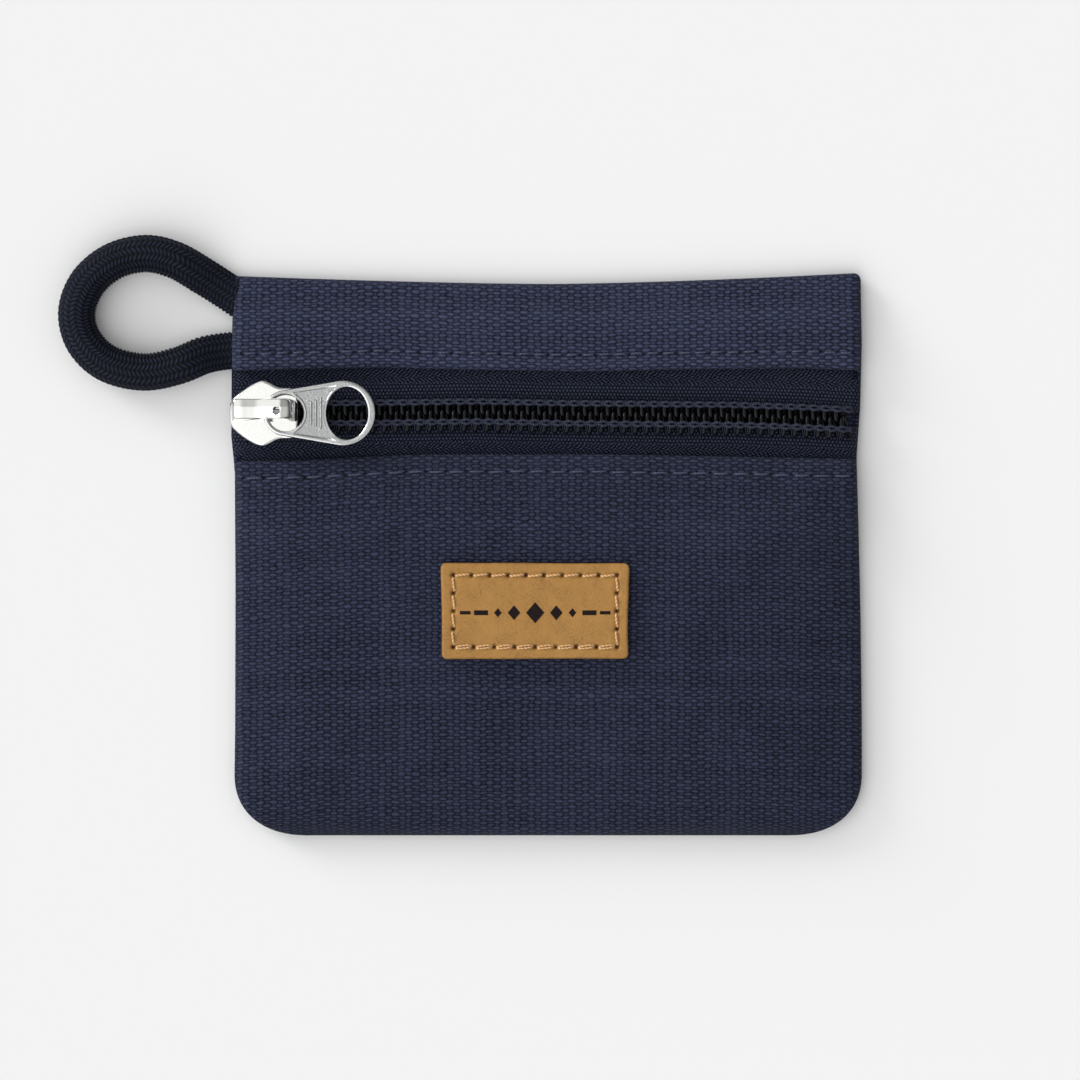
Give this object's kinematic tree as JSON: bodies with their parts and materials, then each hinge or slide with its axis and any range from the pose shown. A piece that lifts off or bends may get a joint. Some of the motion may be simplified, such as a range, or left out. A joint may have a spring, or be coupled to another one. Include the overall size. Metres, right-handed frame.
{
  "type": "zippered pouch",
  "caption": "Small flat canvas pouch with turned seams, a coil zip across the front, a braided hang loop at one side seam and a stitched leather label.",
  "frame": {"origin": "middle of the flat back face, on the surface that the pouch lies on", "axes": "+X along the zip, from the closed end at the hang loop towards the open end; +Y towards the top fold; +Z out of the front panel"},
  "size_m": [0.1151, 0.086, 0.0094],
  "materials": {
    "canvas": "plain-weave cotton canvas, matt, dark navy",
    "binding": "cotton bias tape, dark navy",
    "zip_tape": "woven polyester twill tape, near-black navy",
    "coil": "black polyester monofilament",
    "core_cord": "two-ply filler cord dyed near-black navy",
    "coil_thread": "polyester chain-stitch thread, grey navy",
    "thread_navy": "polyester sewing thread, blue grey",
    "thread_tan": "waxed polyester sewing thread, light tan",
    "leather": "smooth vegetable-tanned leather, tan",
    "braid": "round polyester braid, dark navy",
    "nickel": "polished nickel-plated zinc",
    "spring_steel": "bright spring steel"
  },
  "bodies": {
    "pouch": {"back_panel": "canvas", "front_panel": "canvas", "seam_binding": "binding", "seam_thread": "thread_navy", "binding_thread": "thread_navy", "zip_tape_upper": "zip_tape", "zip_tape_lower": "zip_tape", "coil_upper": "coil", "coil_lower": "coil", "coil_core_upper": "core_cord", "coil_core_lower": "core_cord", "coil_thread_upper": "coil_thread", "coil_thread_lower": "coil_thread", "topstitch_upper": "thread_navy", "topstitch_lower": "thread_navy", "label_patch": "leather", "label_thread": "thread_tan", "cord_loop": "braid"},
    "slider": {"slider_body": "nickel", "slider_crown": "nickel", "pawl_spring": "spring_steel"},
    "pawl": {"lock_pawl": "spring_steel"},
    "pull": {"pull_tab": "nickel"}
  },
  "joints": [
    {"name": "slider_slide", "type": "slide", "parent": "pouch", "child": "slider", "axis": [1, 0, 0], "range_m": [0, 0.078], "deforming": ["coil_upper", "coil_lower", "coil_core_upper", "coil_core_lower", "coil_thread_upper", "coil_thread_lower"]},
    {"name": "pull_flip", "type": "hinge", "parent": "slider", "child": "pull", "pos_m": [-0.04013, 0.0204, 0.00695], "axis": [0, -1, 0], "range_deg": [0, 180]},
    {"name": "pawl_lift", "type": "slide", "parent": "slider", "child": "pawl", "axis": [0, 0, 1], "range_m": [0, 0.0004], "deforming": ["pawl_spring"]}
  ],
  "couplings": [
    {"joint": "pawl_lift", "follows": "pull_flip", "m_per_rad": 0.000127}
  ]
}
